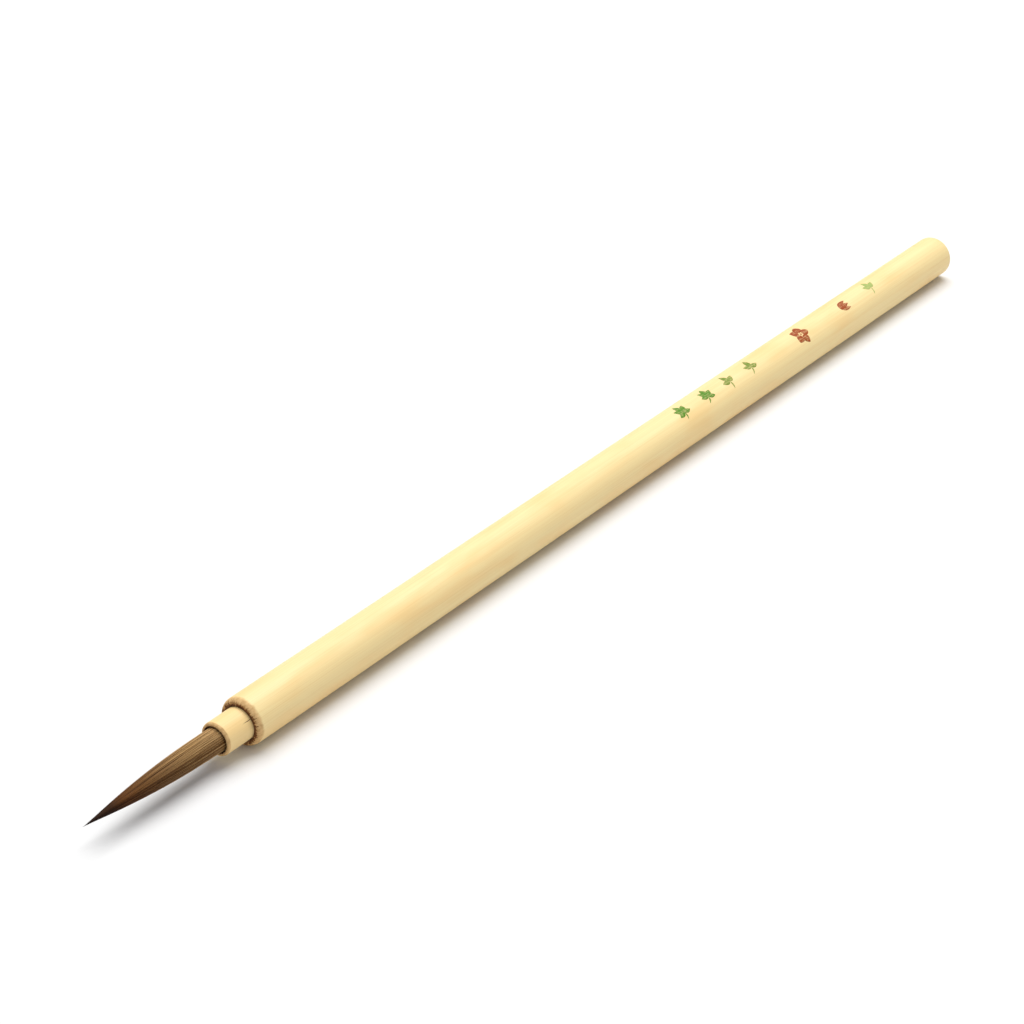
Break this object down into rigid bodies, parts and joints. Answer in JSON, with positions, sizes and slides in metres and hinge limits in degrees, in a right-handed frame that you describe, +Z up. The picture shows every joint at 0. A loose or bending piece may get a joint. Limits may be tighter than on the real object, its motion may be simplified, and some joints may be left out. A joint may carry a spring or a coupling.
{
  "type": "calligraphy brush",
  "caption": "Pointed writing brush: a springy tapered hair tuft, tied and glued in a stepped bamboo ferrule at the front of a slim round bamboo handle.",
  "frame": {"origin": "on the surface that the brush lies on, below the middle of its whole length", "axes": "+X from the hair point towards the handle's tail, +Z up, +Y to the left when looking along +X"},
  "size_m": [0.2206, 0.0072, 0.0072],
  "materials": {
    "bamboo": "polished pale bamboo skin",
    "ferrule_bamboo": "polished pale bamboo skin",
    "plug_wood": "end grain, unpolished",
    "weasel_hair": "soft brown animal hair with a sheen",
    "dark_tip_hair": "soft dark brown animal hair with a sheen",
    "hemp_thread": "twisted, waxed",
    "amber_glue": "set, glossy",
    "fused_roots": "charred and resin soaked",
    "painted_mark": "thin satin paint"
  },
  "bodies": {
    "handle": {"handle_tube": "bamboo", "tail_plug": "plug_wood", "ferrule_sleeve": "ferrule_bamboo", "seat_glue_ring": "amber_glue", "root_glue_cup": "amber_glue", "root_seal_disc": "fused_roots", "binding_thread": "hemp_thread", "life_hair_roots": "weasel_hair", "waist_hair_roots": "weasel_hair", "cover_hair_roots": "weasel_hair"},
    "belly": {"life_hair_belly": "weasel_hair", "waist_hair_belly": "weasel_hair", "cover_hair_belly": "weasel_hair"},
    "point": {"life_hair_point": "dark_tip_hair", "cover_hair_point": "weasel_hair"}
  },
  "joints": [
    {"name": "tuft_bend", "type": "hinge", "parent": "handle", "child": "belly", "pos_m": [-0.0868, 0, 0.0036], "axis": [0, 1, 0], "range_deg": [-30, 30], "stiffness_Nm_per_rad": 0.002},
    {"name": "point_bend", "type": "hinge", "parent": "belly", "child": "point", "pos_m": [-0.0966, 0, 0.0036], "axis": [0, 1, 0], "range_deg": [-40, 40], "stiffness_Nm_per_rad": 0.0008}
  ]
}
